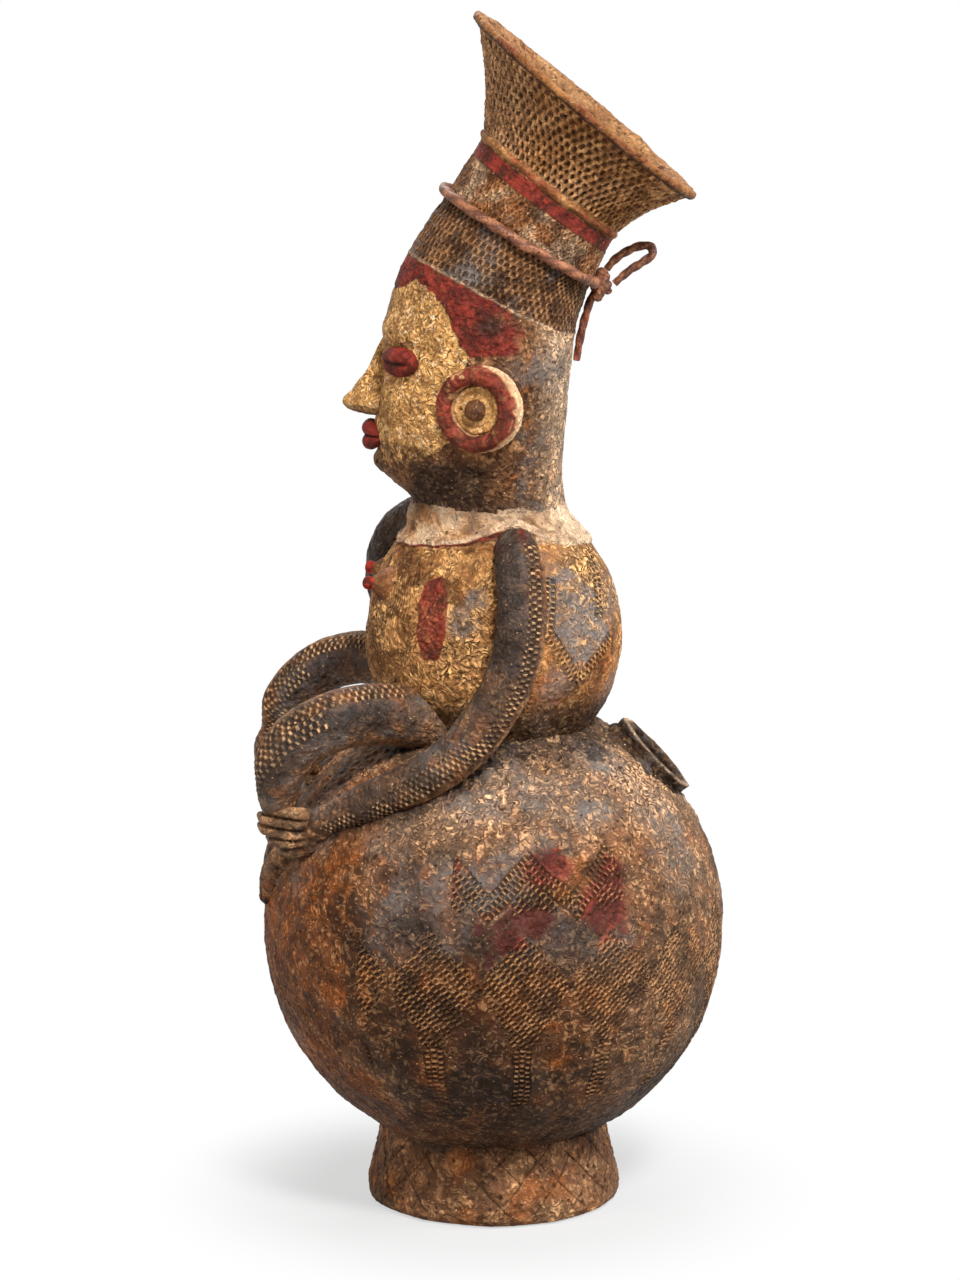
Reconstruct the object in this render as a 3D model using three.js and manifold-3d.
// A figural clay jar: a seated figure whose chest, neck and head form the long neck of a globe pot.
// Millimetres, +Z up. The figure faces -X, so its left side is -Y and its back is +X.
// The potter built it from separate lumps, coils and shells of clay luted together while damp,
// so every element here is its own solid, seated on its neighbours with a small luting gap.

import * as THREE from 'three';
import { mergeVertices } from 'three/addons/utils/BufferGeometryUtils.js';
import Module from 'manifold-3d';

const wasm = await Module();
wasm.setup();

// Driving dimensions

const GAP = 0.3; // between two pieces that touch
const SLIVER = 0.02; // edges and faces slimmer than this are merged away

const GLOBE_RADIUS = 97;
const GLOBE_WALL = 7;
const GLOBE_MOUTH_RADIUS = 28;

const FOOT_HEIGHT = 33; // where the ring's top edge meets the globe
const FOOT_TOP_RADIUS = 47;
const FOOT_BASE_RADIUS = 54.3;
const FOOT_WALL = 8;
const FOOT_LIP = 4; // roll of clay at the ring's lower edge

const TORSO_RADIUS = 53.3;
const TORSO_HALF_HEIGHT = 59.5;
const TORSO_WALL = 6;
const TORSO_SEAT_RADIUS = 41.5; // where the torso stands on the globe
const TORSO_MOUTH_RADIUS = 24.5;

const NECK_RADIUS = 33.3;
const HEAD_WALL = 6;

const COLLAR_WIDTH = 7.1; // how far its edge reaches past the neck, in front and at the back
const COLLAR_SIDE = 3; // how much nearer its edge is at the sides
const COLLAR_THICKNESS = 4.2;
const COLLAR_RISE = 9; // how far the collar climbs the neck
const SHOULDER_LIFT = 7; // how far the collar is lifted where an arm starts under it

const CROWN_RIM_RADIUS = 58.4;
const CROWN_WALL = 5.5;
const CROWN_LIP = 4.5;
const CROWN_RISE = 38.6; // from the head's top ring to the rim, along the line of centres
const CROWN_LEAN = 25.2; // degrees that the line of centres leans back
const CROWN_TILT = 39.5; // degrees that the rim's plane tips back
const CROWN_ROLL = 1.5; // degrees that it tips to the figure's left
const CROWN_CURVE = 1.4; // 1 is a straight cone, more is a trumpet

const SPOUT_RADIUS = 20.7;
const SPOUT_BORE = 13.5;
const SPOUT_HEIGHT = 4.3; // middle of the rim above the globe's surface
const SPOUT_ELEVATION = 47.2; // of the rim's middle, seen from the globe's middle
const SPOUT_NOD = 3.8; // degrees that the spout looks lower than that
const SPOUT_SIDES = 8;
const SPOUT_WAIST = 0.9; // the faceted wall is pinched to this share of its width half way up

const EAR_RADIUS = 17.7;
const EAR_COIL = 3.7; // half the width of the ring of clay
const EAR_DEPTH = 7.5;
const EAR_BOSS_RADIUS = 4.6;
const EAR_DISC = 3;
const EAR_HEIGHT = 52.6; // above the neck's seat
const EAR_BACK = -6;
const EAR_TURN = 25; // degrees that the spool looks forward of square to the side

const BREAST_LENGTH = 9;
const BREAST_RADIUS = 7;
const NIPPLE_RADIUS = 2.9;

const EYE_LENGTH = 24;
const EYE_HEIGHT = 12;
const EYE_RAISE = 4;
const EYE_SLIT = 1.1;
const EYE_LEVEL = 70; // above the neck's seat
const EYE_AZIMUTH = 33; // degrees from the face's middle line
const NOSE_LENGTH = 30;
const NOSE_WIDTH = 20;
const NOSE_BRIDGE = 7;
const NOSE_REACH = 15;
const NOSE_LEVEL = 49.5;
const MOUTH_LEVEL = 37.5;
const MOUTH_WIDTH = 27;
const LIP_HEIGHT = 6.6;
const LIP_REACH = 7;

const FINGER_RADIUS = 2.6;
const HAND_THICKNESS = 8;

const THONG_DIAMETER = 4.4;
const BOW_DIAMETER = 3.8;
const TAIL_DIAMETER = 3.6;
const KNOT_RADIUS = 5.2;

// Facets round and along the main forms
const JAR_SIDES = 36; // the globe, foot ring, torso and collar share these
const HEAD_SIDES = 30;
const CROWN_SIDES = 36;
const LIMB_SIDES = 10;
const FINGER_SIDES = 6;
const CORD_SIDES = 8;
const BORE_SIDES = 20;

// Places worked out from the driving dimensions

const GLOBE_Z = FOOT_HEIGHT + Math.sqrt(GLOBE_RADIUS ** 2 - FOOT_TOP_RADIUS ** 2);
const TORSO_SEAT_Z = GLOBE_Z + Math.sqrt(GLOBE_RADIUS ** 2 - TORSO_SEAT_RADIUS ** 2);
const TORSO_Z = TORSO_SEAT_Z + torsoRise(TORSO_SEAT_RADIUS);
const NECK_Z = TORSO_Z + torsoRise(NECK_RADIUS);

// Height of the torso's egg form over its middle at a radius.
function torsoRise(radius) {
  return TORSO_HALF_HEIGHT * Math.sqrt(1 - (radius / TORSO_RADIUS) ** 2);
}

// Head outline, as the pairs of points where each slanting ring meets the face and the nape:
// front x, front height, back x, back height, half width. Heights are above the neck's seat.
const HEAD_ROWS = [
  [-NECK_RADIUS - 1.7, 0, NECK_RADIUS - 1.8, 0, NECK_RADIUS - 1.3],
  [-NECK_RADIUS - 1, 11.5, NECK_RADIUS - 3.9, 13.5, NECK_RADIUS - 2.3],
  [-42.5, 19.5, 28.8, 23.5, 33],
  [-47.5, 30, 29, 32, 35.5],
  [-48, 51.5, 30.6, 53.5, 38],
  [-45.5, 68.5, 32.2, 67.3, 39],
  [-44.5, 84.5, 33, 76.6, 39],
  [-41.5, 98.5, 34.5, 85.6, 38.5],
  [-36, 111.6, 37, 93.8, 37.5],
  [-28, 124.6, 38.3, 97.6, 36.5],
  [-19.3, 136.6, 40.2, 101.1, 35.5],
  [-11.5, 148.6, 44, 109.6, 34.2],
  [-5, 159.6, 48.9, 118.6, 33.9],
];
const THONG_ROW = 10.1; // the ring of the head that the thong is tied round

// Elevation on the torso of the collar's edge, which the arms come out from under.
const SHOULDER = degrees(Math.acos((NECK_RADIUS + COLLAR_WIDTH) / TORSO_RADIUS));

// Limb routes: surface that the point is measured from, azimuth, elevation, height over it, radius.
const ARM_LEFT = [
  ['torso', -77.2, SHOULDER + 4.1, 1.6, 8],
  ['torso', -77.9, 34.2, 4.8, 9.4],
  ['torso', -78.3, 21.4, 6.5, 9.6],
  ['torso', -80.2, 6.8, 6.5, 9.6],
  ['torso', -83.5, -5.5, 7.4, 9.7],
  ['torso', -91.6, -18.6, 11.6, 9.7],
  ['globe', -101.8, 54.3, 11.6, 9.3],
  ['globe', -114.7, 48.6, 5.5, 8.8],
  ['globe', -129.9, 41.7, 3.4, 7.8],
  ['globe', -139.9, 36.8, 2.6, 6.8],
  ['globe', -147.2, 33.1, 3.2, 6],
];
const ARM_RIGHT = [
  ['torso', 126.9, SHOULDER + 5.5, 4.5, 8],
  ['torso', 129.1, 37.7, 10.2, 9.2],
  ['torso', 131.6, 30.1, 14.2, 9.4],
  ['torso', 133, 21.7, 15.6, 9.5],
  ['torso', 132, 12.1, 15.4, 9.5],
  ['torso', 128.5, 0.1, 13.2, 9.6],
  ['torso', 123.6, -13.1, 14.6, 9.6],
  ['globe', 126, 49.5, 14, 9.2],
  ['globe', 132.4, 44.9, 7.6, 8.6],
  ['globe', 139.5, 39.6, 4, 7.4],
  ['globe', 147.2, 33.6, 3.6, 6],
];
const LEG_LEFT = [
  ['torso', -127.6, -41.3, -9.6, 12],
  ['torso', -134.6, -29.5, 0.5, 12.2],
  ['globe', -140.2, 57.5, 19.4, 12.2],
  ['globe', -144.7, 50.5, 28.2, 11.8],
  ['globe', -148.4, 44.4, 31.2, 11.8],
  ['globe', -151.6, 39.2, 29.2, 11],
  ['globe', -155, 34.6, 22.2, 8.8],
  ['globe', -157.9, 30.9, 14.3, 6.8],
  ['globe', -160.2, 27.3, 5.9, 5.8],
];
const LEG_RIGHT = [
  ['torso', 143.7, -32.4, -9.3, 11],
  ['torso', 144.5, -18.2, 1, 11],
  ['globe', 145.4, 58, 29.3, 10.8],
  ['globe', 147.7, 52.3, 34.6, 10.6],
  ['globe', 149.7, 47.4, 36.4, 10.6],
  ['globe', 151.8, 40.7, 35.5, 10.2],
  ['globe', 153.2, 36.2, 28.6, 9],
  ['globe', 155.4, 32.4, 23.6, 10.4],
  ['globe', 157.9, 30.6, 14.2, 6.9],
  ['globe', 160.2, 27.3, 5.9, 5.8],
];
const FOOT_ROUTE = [
  ['globe', 158.6, 26.4, -3.6, 5.2],
  ['globe', 163.4, 21, 0.4, 5.8],
  ['globe', 168, 14.4, 0.9, 4.9],
  ['globe', 171.4, 8.8, 0.4, 3.6],
];

// Hand: fingers as root height, tip reach forward and tip height, from the ankle.
const FINGERS = [
  [5.6, 10.4, 7.6],
  [0.8, 10, 3.4],
  [-3, 6.8, -1.6],
  [-6.4, 2.6, -6.4],
];
const FINGER_ROOT = 7.5; // behind the ankle
const FINGER_OUT = 13; // beside the ankle
const FINGER_TIP_OUT = 3;

// Free ends of the thong, from the middle of the knot: x, y, z.
const BOW_ROUTE = [
  [2.4, 0.6, 6.2],
  [5.8, 0.9, 10.2],
  [10.8, 1.1, 13.6],
  [16.4, 1.2, 15.8],
  [20.6, 1, 15.4],
  [21.2, 0.3, 12.4],
  [17.4, -0.3, 9.4],
  [12, -0.8, 6],
  [8.2, -1, 2.8],
  [5.6, -1, 0.4],
];
const TAIL_ROUTE = [
  [-3.9, 0, -5.8],
  [-5.9, 0, -12],
  [-7.6, 0, -18.5],
  [-8.9, 0, -25],
  [-9.8, 0, -31.5],
];

// Ways to make a solid

// A geometry with merged points and no collapsed faces, turned so that its faces point out.
function closedMesh(geometry) {
  const bare = geometry.clone();
  bare.deleteAttribute('normal');
  bare.deleteAttribute('uv');
  const merged = mergeVertices(bare, 1e-4);
  const points = merged.getAttribute('position');
  const index = merged.getIndex().array;
  const faces = [];
  for (let i = 0; i < index.length; i += 3) {
    const [a, b, c] = [index[i], index[i + 1], index[i + 2]];
    if (a !== b && b !== c && c !== a) faces.push(a, b, c);
  }
  if (signedVolume(points, faces) < 0) faces.reverse();
  return { points: new Float32Array(points.array), faces: new Uint32Array(faces) };
}

// Six times the volume inside the faces, negative when they point inwards.
function signedVolume(points, faces) {
  const [a, b, c] = [new THREE.Vector3(), new THREE.Vector3(), new THREE.Vector3()];
  let sum = 0;
  for (let i = 0; i < faces.length; i += 3) {
    a.fromBufferAttribute(points, faces[i]);
    b.fromBufferAttribute(points, faces[i + 1]);
    c.fromBufferAttribute(points, faces[i + 2]);
    sum += a.dot(b.cross(c));
  }
  return sum;
}

function solidOf(geometry) {
  const { points, faces } = closedMesh(geometry);
  return new wasm.Manifold(new wasm.Mesh({ numProp: 3, vertProperties: points, triVerts: faces }));
}

function geometryOf(solid) {
  const mesh = solid.getMesh();
  const geometry = new THREE.BufferGeometry();
  geometry.setAttribute('position', new THREE.BufferAttribute(mesh.vertProperties.slice(), 3));
  geometry.setIndex(new THREE.BufferAttribute(mesh.triVerts.slice(), 1));
  geometry.computeVertexNormals();
  return geometry;
}

// Skin over a row of rings with equal counts of points. A loop joins the last ring to the first,
// and without it both ends are closed by a fan.
function loft(rings, loop = false) {
  const count = rings[0].length;
  const positions = rings.flat().flatMap((p) => [p.x, p.y, p.z]);
  const faces = [];
  const last = loop ? rings.length : rings.length - 1;
  for (let r = 0; r < last; r++) {
    const next = (r + 1) % rings.length;
    for (let i = 0; i < count; i++) {
      const j = (i + 1) % count;
      faces.push(r * count + i, r * count + j, next * count + j);
      faces.push(r * count + i, next * count + j, next * count + i);
    }
  }
  if (!loop) {
    closeEnd(positions, faces, rings[0], 0, true);
    closeEnd(positions, faces, rings.at(-1), (rings.length - 1) * count, false);
  }
  const geometry = new THREE.BufferGeometry();
  geometry.setAttribute('position', new THREE.Float32BufferAttribute(positions, 3));
  geometry.setIndex(faces);
  return solidOf(geometry);
}

function closeEnd(positions, faces, ring, first, atStart) {
  const middle = ring.reduce((sum, p) => sum.add(p), new THREE.Vector3()).divideScalar(ring.length);
  const pole = positions.length / 3;
  positions.push(middle.x, middle.y, middle.z);
  for (let i = 0; i < ring.length; i++) {
    const j = (i + 1) % ring.length;
    if (atStart) faces.push(first + j, first + i, pole);
    else faces.push(first + i, first + j, pole);
  }
}

// Solid of revolution about Z. The profile is pairs of radius and height.
function revolve(profile, sides) {
  const points = profile.map(([r, z]) => new THREE.Vector2(r, z));
  const geometry = new THREE.LatheGeometry(points, sides);
  geometry.rotateX(Math.PI / 2);
  return solidOf(geometry);
}

// Points of an arc of an ellipse about (0, middle), from one angle to another, in degrees above flat.
function arc(radius, halfHeight, middle, from, to, steps) {
  return Array.from({ length: steps + 1 }, (_, i) => {
    const angle = radians(from + ((to - from) * i) / steps);
    return [radius * Math.cos(angle), middle + halfHeight * Math.sin(angle)];
  });
}

function radians(degrees) {
  return (degrees * Math.PI) / 180;
}

function degrees(angle) {
  return (angle * 180) / Math.PI;
}

// Unit vector at an azimuth and an elevation, in degrees.
function direction(azimuth, elevation) {
  const [a, e] = [radians(azimuth), radians(elevation)];
  return new THREE.Vector3(Math.cos(e) * Math.cos(a), Math.cos(e) * Math.sin(a), Math.sin(e));
}

// Tube through the points, with its own radius at each. Its ends round off through the given angles.
function tube(points, radii, sides, steps, roundings = [45, 80]) {
  const path = new THREE.CatmullRomCurve3(points, false, 'centripetal');
  const radiusCurve = new THREE.SplineCurve(radii.map((r, i) => new THREE.Vector2(i, r)));
  const stations = Array.from({ length: steps + 1 }, (_, i) => {
    const t = i / steps;
    return { at: path.getPoint(t), along: path.getTangent(t), radius: radiusCurve.getPoint(t).y };
  });
  const first = stations[0];
  const last = stations.at(-1);
  const startCap = roundings.map((a) => capStation(first, -1, a)).reverse();
  const endCap = roundings.map((a) => capStation(last, 1, a));
  let across = new THREE.Vector3(0, 0, 1);
  const rings = [...startCap, ...stations, ...endCap].map((s) => {
    across = across.clone().addScaledVector(s.along, -across.dot(s.along)).normalize();
    return circle(s.at, across, s.along.clone().cross(across), s.radius, s.radius, sides);
  });
  return loft(rings);
}

function capStation(station, sign, angle) {
  const out = sign * station.radius * Math.sin(radians(angle)) * 0.8;
  return {
    at: station.at.clone().addScaledVector(station.along, out),
    along: station.along,
    radius: station.radius * Math.cos(radians(angle)),
  };
}

function circle(middle, u, v, a, b, sides) {
  return Array.from({ length: sides }, (_, i) => {
    const angle = (2 * Math.PI * i) / sides;
    return middle
      .clone()
      .addScaledVector(u, a * Math.cos(angle))
      .addScaledVector(v, b * Math.sin(angle));
  });
}

function ellipsoid(middle, [a, b, c], sides, turn = new THREE.Euler()) {
  const geometry = new THREE.SphereGeometry(1, sides, sides / 2);
  geometry.scale(a, b, c);
  geometry.applyMatrix4(new THREE.Matrix4().makeRotationFromEuler(turn));
  geometry.translate(middle.x, middle.y, middle.z);
  return solidOf(geometry);
}

// Turns a solid made about Z so that Z points along the line, and moves its origin to the place.
function aimed(solid, line, place) {
  const turn = new THREE.Quaternion().setFromUnitVectors(new THREE.Vector3(0, 0, 1), line);
  const matrix = new THREE.Matrix4().compose(place, turn, new THREE.Vector3(1, 1, 1));
  return solid.transform(matrix.elements);
}

// A point of the globe or the torso, grown by the height over it. Elevation is the ellipse's own angle,
// so a point keeps its place on a taller or wider torso.
function over([surface, azimuth, elevation, lift]) {
  const line = direction(azimuth, elevation);
  if (surface === 'globe') return line.multiplyScalar(GLOBE_RADIUS + lift).add(globeMiddle());
  const reach = new THREE.Vector3(TORSO_RADIUS + lift, TORSO_RADIUS + lift, TORSO_HALF_HEIGHT + lift);
  return line.multiply(reach).add(new THREE.Vector3(0, 0, TORSO_Z));
}

function globeMiddle() {
  return new THREE.Vector3(0, 0, GLOBE_Z);
}

function mirrored(point) {
  return new THREE.Vector3(point.x, -point.y, point.z);
}

// Filled forms, grown by a gap, that neighbours are cut by

function globeForm(grow) {
  return revolve(arc(GLOBE_RADIUS + grow, GLOBE_RADIUS + grow, GLOBE_Z, -90, 90, 24), JAR_SIDES);
}

function torsoForm(grow) {
  const profile = arc(TORSO_RADIUS + grow, TORSO_HALF_HEIGHT + grow, TORSO_Z, -90, 90, 20);
  return revolve(profile, JAR_SIDES);
}

// One ring of the head at a row number that may fall between rows.
function headStation(row) {
  const low = Math.min(Math.floor(row), HEAD_ROWS.length - 2);
  const part = row - low;
  const near = [low - 1, low, low + 1, low + 2].map(
    (i) => HEAD_ROWS[THREE.MathUtils.clamp(i, 0, HEAD_ROWS.length - 1)],
  );
  return near[0].map((_, i) => spline(near.map((values) => values[i]), part));
}

// Catmull-Rom value between the second and third of four.
function spline([a, b, c, d], t) {
  const slopeB = (c - a) / 2;
  const slopeC = (d - b) / 2;
  const [square, cube] = [t * t, t * t * t];
  return (
    b * (2 * cube - 3 * square + 1) +
    slopeB * (cube - 2 * square + t) +
    c * (3 * square - 2 * cube) +
    slopeC * (cube - square)
  );
}

function headRing(row, grow, sides = HEAD_SIDES) {
  const [frontX, frontZ, backX, backZ, half] = headStation(row);
  const front = new THREE.Vector3(frontX, 0, NECK_Z + frontZ);
  const back = new THREE.Vector3(backX, 0, NECK_Z + backZ);
  const middle = front.clone().add(back).divideScalar(2);
  const along = back.clone().sub(front).normalize();
  const reach = front.distanceTo(back) / 2 + grow;
  return circle(middle, along, new THREE.Vector3(0, 1, 0), reach, half + grow, sides);
}

function headForm(grow) {
  const top = HEAD_ROWS.length - 1;
  const steps = 18;
  return loft(Array.from({ length: steps + 1 }, (_, i) => headRing((top * i) / steps, grow)));
}

// The head's top ring gives the place and the slant that the crown starts from.
function crownBase() {
  const [frontX, frontZ, backX, backZ, half] = headStation(HEAD_ROWS.length - 1);
  return {
    middle: new THREE.Vector3((frontX + backX) / 2, 0, NECK_Z + (frontZ + backZ) / 2),
    tilt: degrees(Math.atan2(frontZ - backZ, backX - frontX)),
    radius: half,
  };
}

// Pieces

function footRing() {
  const low = FOOT_BASE_RADIUS - FOOT_LIP;
  const outer = [
    [low, 0],
    [FOOT_BASE_RADIUS - 1.2, FOOT_LIP * 0.3],
    [FOOT_BASE_RADIUS, FOOT_LIP],
    [FOOT_BASE_RADIUS - 1, FOOT_LIP * 2.2],
    [(FOOT_BASE_RADIUS + FOOT_TOP_RADIUS) / 2 - 0.3, FOOT_HEIGHT * 0.55],
    [FOOT_TOP_RADIUS + 0.2, FOOT_HEIGHT * 0.85],
  ];
  const bore = FOOT_TOP_RADIUS - FOOT_WALL;
  const inner = [
    [bore, FOOT_HEIGHT * 0.4],
    [low - FOOT_WALL + 1, 0],
  ];
  return revolve([...outer, ...globeSeat(FOOT_TOP_RADIUS, bore, -1), ...inner, outer[0]], JAR_SIDES);
}

// Profile points on the globe, a gap off it, between two radii. The sign picks its top or its underside.
function globeSeat(from, to, sign) {
  const steps = 3;
  return Array.from({ length: steps + 1 }, (_, i) => {
    const radius = from + ((to - from) * i) / steps;
    return [radius, GLOBE_Z + sign * Math.sqrt((GLOBE_RADIUS + GAP) ** 2 - radius ** 2)];
  });
}

function globe() {
  const mouth = degrees(Math.acos(GLOBE_MOUTH_RADIUS / GLOBE_RADIUS));
  const innerRadius = GLOBE_RADIUS - GLOBE_WALL;
  const innerMouth = degrees(Math.acos(GLOBE_MOUTH_RADIUS / innerRadius));
  const shell = revolve(
    [
      ...arc(GLOBE_RADIUS, GLOBE_RADIUS, GLOBE_Z, -90, mouth, 14),
      ...arc(innerRadius, innerRadius, GLOBE_Z, innerMouth, -90, 7),
    ],
    JAR_SIDES,
  );
  return shell.subtract(spoutBore());
}

// Turns a solid made about Z, with the spout's rim at zero, into the spout's place.
function onSpout(solid) {
  const rim = direction(0, SPOUT_ELEVATION).multiplyScalar(GLOBE_RADIUS + SPOUT_HEIGHT);
  return aimed(solid, direction(0, SPOUT_ELEVATION - SPOUT_NOD), rim.add(globeMiddle()));
}

// The bore runs from above the rim to inside the globe.
function spoutBore() {
  const depth = (GLOBE_WALL + SPOUT_HEIGHT) * 2.5;
  const bore = new THREE.CylinderGeometry(SPOUT_BORE, SPOUT_BORE, depth, BORE_SIDES);
  bore.rotateX(Math.PI / 2);
  bore.translate(0, 0, SPOUT_HEIGHT - depth / 2);
  return onSpout(solidOf(bore));
}

// A short faceted neck, pinched at the waist, with a flat rim.
function shoulderSpout() {
  const drop = GLOBE_RADIUS - Math.sqrt(GLOBE_RADIUS ** 2 - SPOUT_RADIUS ** 2);
  const wall = SPOUT_HEIGHT + drop;
  const rows = [
    [-wall - 4, 1.12],
    [-wall, 1.06],
    [-wall * 0.45, SPOUT_WAIST],
    [-wall * 0.2, 0.98],
    [0, 1],
  ];
  const rings = rows.map(([height, share]) => {
    const radius = SPOUT_RADIUS * share;
    const middle = new THREE.Vector3(0, 0, height);
    const x = new THREE.Vector3(1, 0, 0);
    return circle(middle, x, new THREE.Vector3(0, 1, 0), radius, radius, SPOUT_SIDES);
  });
  return onSpout(loft(rings)).subtract(globeForm(GAP)).subtract(spoutBore());
}

function torso() {
  const topAngle = degrees(Math.acos(TORSO_MOUTH_RADIUS / TORSO_RADIUS));
  const seatAngle = -degrees(Math.acos(TORSO_SEAT_RADIUS / TORSO_RADIUS));
  const inner = [TORSO_RADIUS - TORSO_WALL, TORSO_HALF_HEIGHT - TORSO_WALL];
  const innerTop = degrees(Math.acos(TORSO_MOUTH_RADIUS / inner[0]));
  const seatWidth = TORSO_SEAT_RADIUS - TORSO_WALL;
  const innerSeat = -degrees(Math.acos(seatWidth / inner[0]));
  const outline = [
    ...arc(TORSO_RADIUS, TORSO_HALF_HEIGHT, TORSO_Z, seatAngle, topAngle, 10).slice(1),
    ...arc(inner[0], inner[1], TORSO_Z, innerTop, innerSeat, 5).slice(0, -1),
    ...globeSeat(seatWidth, TORSO_SEAT_RADIUS, 1),
  ];
  return revolve([...outline, outline[0]], JAR_SIDES);
}

// Skirt of clay round the neck's root, lifted where it drapes over the arms.
function collar() {
  const shoulders = [ARM_LEFT[0][1], ARM_RIGHT[0][1]];
  const rings = Array.from({ length: JAR_SIDES }, (_, i) => {
    const azimuth = (360 * i) / JAR_SIDES - 180;
    const near = Math.min(...shoulders.map((s) => Math.abs(s - azimuth)));
    const lift = SHOULDER_LIFT * Math.exp(-((near / 22) ** 2));
    const edgeRadius = NECK_RADIUS + COLLAR_WIDTH - COLLAR_SIDE * Math.sin(radians(azimuth)) ** 2;
    const edge = torsoRise(edgeRadius) - torsoRise(NECK_RADIUS);
    const width = edgeRadius - NECK_RADIUS;
    const at = (radius, height) => direction(azimuth, 0).multiplyScalar(radius).setZ(height);
    const root = neckSkin(azimuth, 0, GAP);
    const under = [0, 0.5, 1].map((share) => {
      const radius = THREE.MathUtils.lerp(Math.hypot(root.x, root.y), edgeRadius - 0.6, share);
      return onTorso(new THREE.Vector3(root.x, root.y, 0), radius);
    });
    return [
      ...under,
      at(edgeRadius, NECK_Z + edge + COLLAR_THICKNESS / 2 + lift),
      at(edgeRadius - 1.4, NECK_Z + edge + COLLAR_THICKNESS + lift),
      at(NECK_RADIUS + width * 0.55, NECK_Z - 1 + lift * 0.6),
      neckSkin(azimuth, COLLAR_RISE / 2, 1.6),
      neckSkin(azimuth, COLLAR_RISE, GAP),
    ];
  });
  return loft(rings, true).subtract(limb(ARM_LEFT, GAP)).subtract(limb(ARM_RIGHT, GAP));
}

// Point a gap over the torso, at a radius along a flat line.
function onTorso(line, radius) {
  const rise = torsoRise(radius) * (1 + GAP / TORSO_HALF_HEIGHT) + GAP / 2;
  return line.setLength(radius).setZ(TORSO_Z + rise);
}

// Point beside the neck at an azimuth and a height over its seat, a little off its skin.
function neckSkin(azimuth, height, off) {
  const [front, back] = [HEAD_ROWS[0], HEAD_ROWS[1]].map(([frontX, , backX, , half]) => [
    (frontX + backX) / 2,
    (backX - frontX) / 2,
    half,
  ]);
  const share = THREE.MathUtils.clamp(height / HEAD_ROWS[1][1], 0, 1);
  const [middle, reach, half] = front.map((value, i) => value + (back[i] - value) * share);
  const point = direction(azimuth, 0);
  const base = new THREE.Vector3(middle + (reach + off) * point.x, (half + off) * point.y, 0);
  const lowest = TORSO_Z + torsoRise(base.length()) + GAP;
  return base.setZ(Math.max(lowest, NECK_Z + height));
}

// Neck and head in one: a shell between an outer and an inner skin.
function head() {
  const top = HEAD_ROWS.length - 1;
  const outerSteps = 16;
  const innerSteps = 6;
  const outer = Array.from({ length: outerSteps + 1 }, (_, i) => headRing((top * i) / outerSteps, 0));
  const inner = Array.from({ length: innerSteps + 1 }, (_, i) => {
    return headRing(top * (1 - i / innerSteps), -HEAD_WALL);
  });
  for (const point of [...outer[0], ...inner.at(-1)]) {
    point.z = TORSO_Z + torsoRise(Math.hypot(point.x, point.y)) + GAP;
  }
  return loft([...outer, ...inner], true);
}

// Flaring crown: an oblique trumpet, open through to the head, with a flat lip.
function crownFlare() {
  const base = crownBase();
  const lean = new THREE.Vector3(Math.sin(radians(CROWN_LEAN)), 0, Math.cos(radians(CROWN_LEAN)));
  const ring = (t, grow, lift = 0) => {
    const tilt = radians(base.tilt + (CROWN_TILT - base.tilt) * t);
    const along = new THREE.Vector3(Math.cos(tilt), 0, -Math.sin(tilt));
    const up = new THREE.Vector3(Math.sin(tilt), 0, Math.cos(tilt));
    const middle = base.middle.clone().addScaledVector(lean, CROWN_RISE * t).addScaledVector(up, lift);
    const radius = base.radius + (CROWN_RIM_RADIUS - base.radius) * t ** CROWN_CURVE + grow;
    const roll = radians(CROWN_ROLL * t);
    const across = new THREE.Vector3(0, Math.cos(roll), 0).addScaledVector(up, Math.sin(roll));
    return circle(middle, along, across, radius, radius, CROWN_SIDES);
  };
  const bead = 1.2;
  const outer = [
    ring(0, 0, GAP),
    ring(0.04, bead, GAP),
    ring(0.09, 0, GAP),
    ...[0.25, 0.45, 0.65, 0.85].map((t) => ring(t, 0)),
    ring(1, -1.4, -CROWN_LIP - 1),
    ring(1, 0, -CROWN_LIP),
    ring(1, 0),
  ];
  const inner = [1, 0.75, 0.5, 0.25].map((t) => ring(t, -CROWN_WALL));
  return loft([...outer, ...inner, ring(0, -HEAD_WALL, GAP)], true);
}

function limb(route, grow) {
  const radii = route.map((row) => row[4] + grow);
  return tube(route.map(over), radii, LIMB_SIDES, Math.round(route.length * 1.25), [50]);
}

function arm(route, leg) {
  const free = limb(route, 0).subtract(torsoForm(GAP)).subtract(globeForm(GAP));
  return free.subtract(headForm(GAP)).subtract(limb(leg, GAP));
}

function leg(route) {
  return limb(route, 0).subtract(torsoForm(GAP)).subtract(globeForm(GAP));
}

function footSolid(side, grow) {
  const points = FOOT_ROUTE.map(over).map((p) => (side < 0 ? mirrored(p) : p));
  const radii = FOOT_ROUTE.map((row) => row[4] + grow);
  return tube(points, radii, CORD_SIDES, 6);
}

function foot(side, leg) {
  return footSolid(side, 0).subtract(globeForm(GAP)).subtract(limb(leg, GAP));
}

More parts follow.
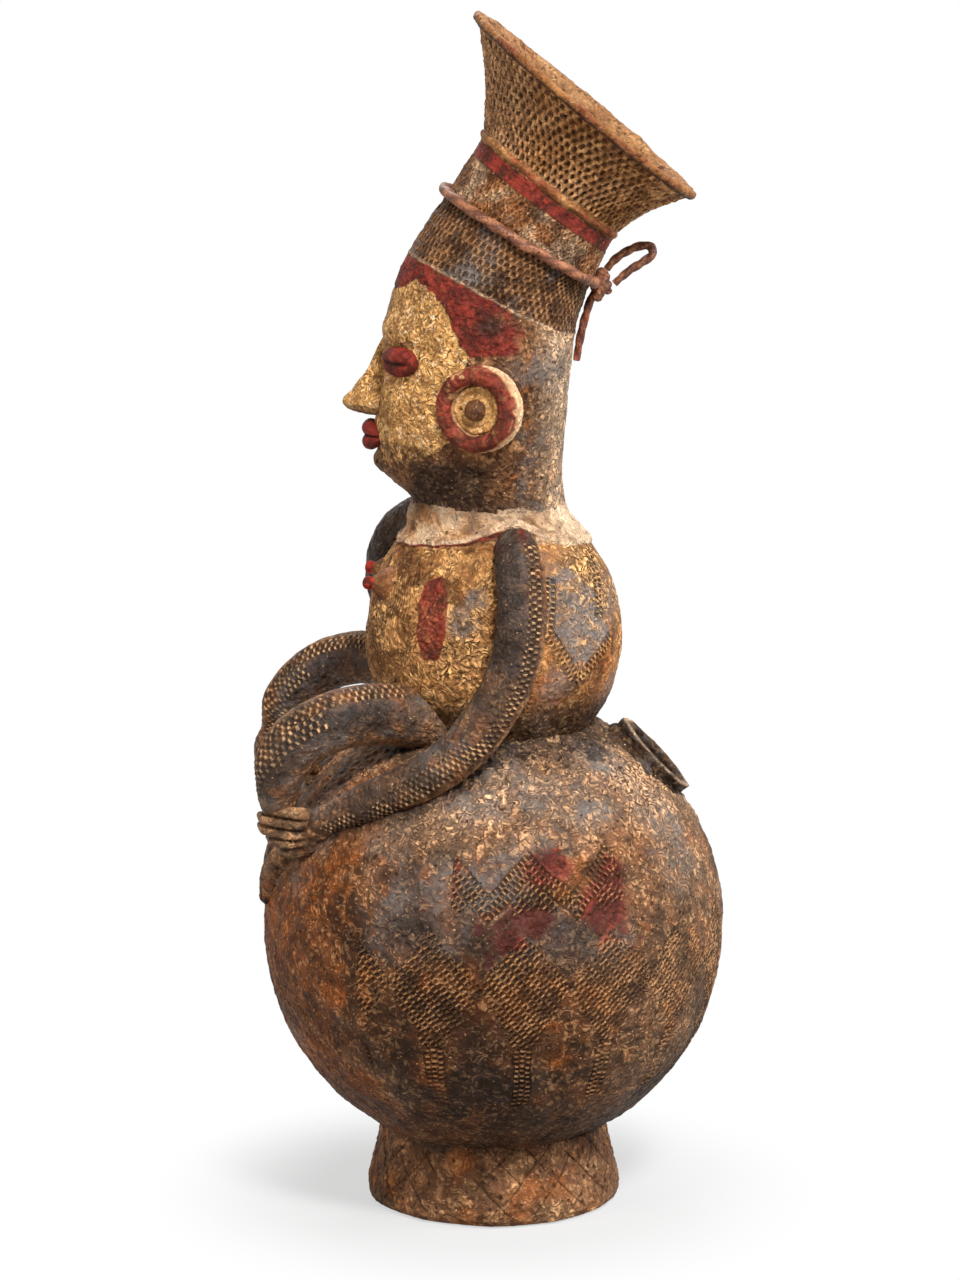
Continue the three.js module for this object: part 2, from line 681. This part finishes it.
// Palm, thumb and four fingers that clasp the ankle from outside.
function hand(side, armRoute, legRoute) {
  const ankle = over(legRoute.at(-1));
  const wrist = over(armRoute.at(-1));
  const place = (forward, out, up) =>
    new THREE.Vector3(ankle.x - forward, ankle.y + side * out, ankle.z + up);
  const finger = (points) => tube(points, points.map(() => FINGER_RADIUS), FINGER_SIDES, 4, [55]);
  const palm = place(-11, 14, 2.5);
  const turn = new THREE.Euler(0, radians(-12), side * radians(24));
  const parts = FINGERS.map(([root, reach, tip]) =>
    finger([
      place(-FINGER_ROOT - 3, FINGER_OUT + 1, root * 0.7 + 1),
      place(-FINGER_ROOT + 4, FINGER_OUT, root),
      place(reach - 2.5, FINGER_OUT - 2.6, (root + tip) / 2 + 0.6),
      place(reach, FINGER_TIP_OUT, tip),
    ]),
  );
  parts.push(ellipsoid(palm, [12, HAND_THICKNESS / 2, 8.6], 8, turn));
  parts.push(finger([wrist, place(-9, 14, 10.4), place(1, 13.6, 11.6), place(7.4, 9, 11)]));
  const whole = parts.reduce((sum, part) => sum.add(part));
  const seated = whole.subtract(globeForm(GAP)).subtract(limb(legRoute, GAP));
  return seated.subtract(limb(armRoute, GAP)).subtract(footSolid(side, GAP));
}

// Ear spool: the line that it looks along and the middle of its seat on the head.
function earPlace(side) {
  const turn = radians(EAR_TURN);
  const line = new THREE.Vector3(-Math.sin(turn), side * Math.cos(turn), 0);
  const half = headStation(4)[4];
  return { line, seat: new THREE.Vector3(EAR_BACK, side * (half + 0.5), NECK_Z + EAR_HEIGHT) };
}

function earRing(side) {
  const { line, seat } = earPlace(side);
  const [low, high] = [EAR_RADIUS - 2 * EAR_COIL, EAR_RADIUS];
  const profile = [
    [low, -8],
    [high, -8],
    [high, EAR_DEPTH - 2],
    [high - 1.2, EAR_DEPTH],
    [low + 1.2, EAR_DEPTH],
    [low, EAR_DEPTH - 1.6],
    [low, -8],
  ];
  return aimed(revolve(profile, 18), line, seat).subtract(headForm(GAP));
}

function earDisc(side) {
  const { line, seat } = earPlace(side);
  const radius = EAR_RADIUS - 2 * EAR_COIL - GAP;
  const profile = [
    [0, -8],
    [radius, -8],
    [radius, EAR_DISC + 0.6],
    [radius - 2.4, EAR_DISC],
    [0, EAR_DISC],
  ];
  return aimed(revolve(profile, 16), line, seat).subtract(headForm(GAP));
}

function earBoss(side) {
  const { line, seat } = earPlace(side);
  const low = EAR_DISC + GAP;
  const profile = [[0, low], ...arc(EAR_BOSS_RADIUS, 3.4, low + 0.6, 0, 90, 4)];
  profile.splice(1, 0, [EAR_BOSS_RADIUS, low]);
  return aimed(revolve(profile, 10), line, seat);
}

function breast(side) {
  const place = over(['torso', side * 158.5, 23.5, -2]);
  const line = direction(side * 164, 12);
  const tip = BREAST_LENGTH + 2;
  const profile = [
    [0, -3],
    [BREAST_RADIUS, -3],
    [BREAST_RADIUS, 1.5],
    [BREAST_RADIUS * 0.62, tip * 0.45],
    [NIPPLE_RADIUS * 0.9, tip * 0.66],
    ...arc(NIPPLE_RADIUS, NIPPLE_RADIUS, tip - NIPPLE_RADIUS, -30, 90, 4),
  ];
  return aimed(revolve(profile, 14), line, place).subtract(torsoForm(GAP));
}

// Point on the face at an azimuth from its middle line and a height over the neck's seat.
function facePoint(azimuth, height) {
  const rows = HEAD_ROWS.map((row) => row[1]);
  const low = rows.findIndex((z, i) => i > 1 && rows[i + 1] > height);
  const row = low + (height - rows[low]) / (rows[low + 1] - rows[low]);
  const [frontX, , backX, , half] = headStation(row);
  const middle = (frontX + backX) / 2;
  const angle = radians(azimuth);
  const x = middle - ((backX - frontX) / 2) * Math.cos(angle);
  return new THREE.Vector3(x, half * Math.sin(angle), NECK_Z + height);
}

// Closed eye: a bean of clay with a slit along its middle.
function eye(side) {
  const place = facePoint(side * EYE_AZIMUTH, EYE_LEVEL);
  const turn = new THREE.Euler(0, 0, radians(90 - side * EYE_AZIMUTH * 0.9));
  const bean = ellipsoid(place, [EYE_LENGTH / 2, EYE_RAISE, EYE_HEIGHT / 2], 14, turn);
  const slit = new THREE.BoxGeometry(EYE_LENGTH * 0.8, EYE_RAISE * 4, EYE_SLIT);
  slit.applyMatrix4(new THREE.Matrix4().makeRotationFromEuler(turn));
  const out = direction(180 - side * EYE_AZIMUTH * 0.9, 0);
  slit.translate(place.x + out.x * EYE_RAISE * 2.6, place.y + out.y * EYE_RAISE * 2.6, place.z - 1);
  return bean.subtract(solidOf(slit)).subtract(headForm(GAP));
}

// Nose: narrow at the bridge, broad over the nostrils, rounded under.
function nose() {
  const rows = [
    [1, 0.2, NOSE_BRIDGE * 0.7],
    [0.8, 0.34, NOSE_BRIDGE],
    [0.5, 0.56, NOSE_WIDTH * 0.5],
    [0.25, 0.84, NOSE_WIDTH * 0.8],
    [0.08, 1, NOSE_WIDTH],
    [-0.04, 0.86, NOSE_WIDTH * 0.94],
    [-0.1, 0.5, NOSE_WIDTH * 0.7],
  ];
  const rings = rows.map(([share, reach, width]) => {
    const height = NOSE_LEVEL + NOSE_LENGTH * share;
    const root = facePoint(0, height);
    const out = NOSE_REACH * reach;
    const middle = new THREE.Vector3(root.x + 5 - out / 2 + 2, 0, root.z);
    const reachX = (out + 10) / 2;
    return circle(middle, new THREE.Vector3(1, 0, 0), new THREE.Vector3(0, 1, 0), reachX, width / 2, 12);
  });
  return loft(rings).subtract(headForm(GAP));
}

// One lip: a crescent pressed on the face, the upper one over the lower.
function lip(sign) {
  const points = [-1, -0.6, 0, 0.6, 1].map((share) => {
    const place = facePoint((share * MOUTH_WIDTH * 0.92) / 1.4, MOUTH_LEVEL);
    const middle = 1 - share * share;
    place.x -= LIP_REACH * 0.42 * middle;
    place.z += sign * (LIP_HEIGHT / 2 + GAP) * (0.25 + 0.75 * middle);
    return place;
  });
  const half = LIP_HEIGHT / 2;
  const radii = [half * 0.3, half * 0.8, half, half * 0.8, half * 0.3];
  const whole = tube(points, radii, FINGER_SIDES, 6).subtract(headForm(GAP));
  const far = 60;
  const cut = new THREE.BoxGeometry(far, far, far);
  cut.translate(-far, 0, NECK_Z + MOUTH_LEVEL - sign * (far / 2 - GAP / 2));
  return whole.subtract(solidOf(cut));
}

// Thong

function thongRadius(grow) {
  return THONG_DIAMETER / 2 + grow;
}

// The thong's line follows the head's ring, standing off by its own radius.
function thongLoop() {
  const [frontX, frontZ, backX, backZ, half] = headStation(THONG_ROW);
  const front = new THREE.Vector3(frontX, 0, NECK_Z + frontZ);
  const back = new THREE.Vector3(backX, 0, NECK_Z + backZ);
  const grow = thongRadius(GAP);
  return {
    middle: front.clone().add(back).divideScalar(2),
    along: back.clone().sub(front).normalize(),
    reach: front.distanceTo(back) / 2 + grow,
    half: half + grow,
  };
}

function knotPlace() {
  const { middle, along, reach } = thongLoop();
  return middle.clone().addScaledVector(along, reach + KNOT_RADIUS * 0.35);
}

function headThong() {
  const { middle, along, reach, half } = thongLoop();
  const open = 5; // degrees left on each side of the knot's middle
  const count = 24;
  const points = Array.from({ length: count + 1 }, (_, i) => {
    const angle = radians(open + ((360 - 2 * open) * i) / count);
    const side = new THREE.Vector3(0, half * Math.sin(angle), 0);
    return middle.clone().addScaledVector(along, reach * Math.cos(angle)).add(side);
  });
  return cord(points, THONG_DIAMETER, 28).subtract(knotForm(GAP));
}

// A round cord of one thickness along a smooth line.
function cord(points, diameter, steps) {
  const section = new THREE.Shape();
  for (let i = 0; i < CORD_SIDES; i++) {
    const angle = (2 * Math.PI * i) / CORD_SIDES;
    const [x, y] = [(diameter / 2) * Math.cos(angle), (diameter / 2) * Math.sin(angle)];
    if (i === 0) section.moveTo(x, y);
    else section.lineTo(x, y);
  }
  section.closePath();
  const extrudePath = new THREE.CatmullRomCurve3(points, false, 'centripetal');
  return solidOf(new THREE.ExtrudeGeometry(section, { steps, extrudePath, curveSegments: 1 }));
}

function knotForm(grow) {
  const place = knotPlace();
  const size = KNOT_RADIUS + grow;
  const body = ellipsoid(place, [size * 0.86, size * 0.92, size * 1.28], 10);
  const wrapRadius = THONG_DIAMETER / 2 - 0.1 + grow;
  const wrap = new THREE.TorusGeometry(KNOT_RADIUS * 0.72, wrapRadius, FINGER_SIDES, 12);
  wrap.rotateX(radians(62));
  wrap.translate(place.x, place.y, place.z);
  return body.add(solidOf(wrap));
}

function cordKnot() {
  return knotForm(0).subtract(headForm(GAP));
}

function freeCord(route, diameter, steps) {
  const knot = knotPlace();
  const points = route.map(([x, y, z]) => new THREE.Vector3(knot.x + x, knot.y + y, knot.z + z));
  return cord(points, diameter, steps).subtract(knotForm(GAP));
}

// The jar

const EARTH = 0x6b4a30;
const GLOBE_BROWN = 0x6e4b2f;
const TAN = 0x9a7444;
const SOOT = 0x3f342b;
const OCHRE = 0xa98445;
const KAOLIN_RED = 0x7a2c22;
const THONG_BROWN = 0x7b5142;

const jar = new THREE.Group();
jar.name = 'figural_clay_jar';

function add(name, solid, colour, roughness = 0.85) {
  const material = new THREE.MeshStandardMaterial({ color: colour, roughness, metalness: 0 });
  const mesh = new THREE.Mesh(geometryOf(solid.simplify(SLIVER)), material);
  mesh.name = name;
  jar.add(mesh);
}

add('foot_ring', footRing(), EARTH);
add('belly_globe', globe(), GLOBE_BROWN);
add('shoulder_spout', shoulderSpout(), SOOT);
add('torso', torso(), TAN);
add('collar', collar(), TAN);
add('head', head(), EARTH);
add('crown_flare', crownFlare(), TAN);

const SIDES = [
  ['left', -1, ARM_LEFT, LEG_LEFT],
  ['right', 1, ARM_RIGHT, LEG_RIGHT],
];
for (const [name, side, armRoute, legRoute] of SIDES) {
  add(`arm_${name}`, arm(armRoute, legRoute), SOOT);
  add(`leg_${name}`, leg(legRoute), EARTH);
  add(`foot_${name}`, foot(side, legRoute), EARTH);
  add(`hand_${name}`, hand(side, armRoute, legRoute), EARTH);
  add(`breast_${name}`, breast(side), TAN);
  add(`ear_ring_${name}`, earRing(side), KAOLIN_RED);
  add(`ear_disc_${name}`, earDisc(side), OCHRE);
  add(`ear_boss_${name}`, earBoss(side), SOOT);
  add(`eye_${name}`, eye(side), KAOLIN_RED);
}
add('nose', nose(), EARTH);
add('upper_lip', lip(1), KAOLIN_RED);
add('lower_lip', lip(-1), KAOLIN_RED);
add('head_thong', headThong(), THONG_BROWN, 0.6);
add('thong_knot', cordKnot(), THONG_BROWN, 0.6);
add('thong_bow', freeCord(BOW_ROUTE, BOW_DIAMETER, 17), THONG_BROWN, 0.6);
add('thong_tail', freeCord(TAIL_ROUTE, TAIL_DIAMETER, 8), THONG_BROWN, 0.6);

// The frame's origin is on the ground under the middle of the fired clay, without the thong.
const THONG_PIECES = ['head_thong', 'thong_knot', 'thong_bow', 'thong_tail'];
const fired = new THREE.Box3();
for (const mesh of jar.children) {
  if (!THONG_PIECES.includes(mesh.name)) fired.expandByObject(mesh);
}
const middle = fired.getCenter(new THREE.Vector3());
for (const mesh of jar.children) {
  mesh.position.set(-middle.x, -middle.y, -fired.min.z);
}

export default jar;
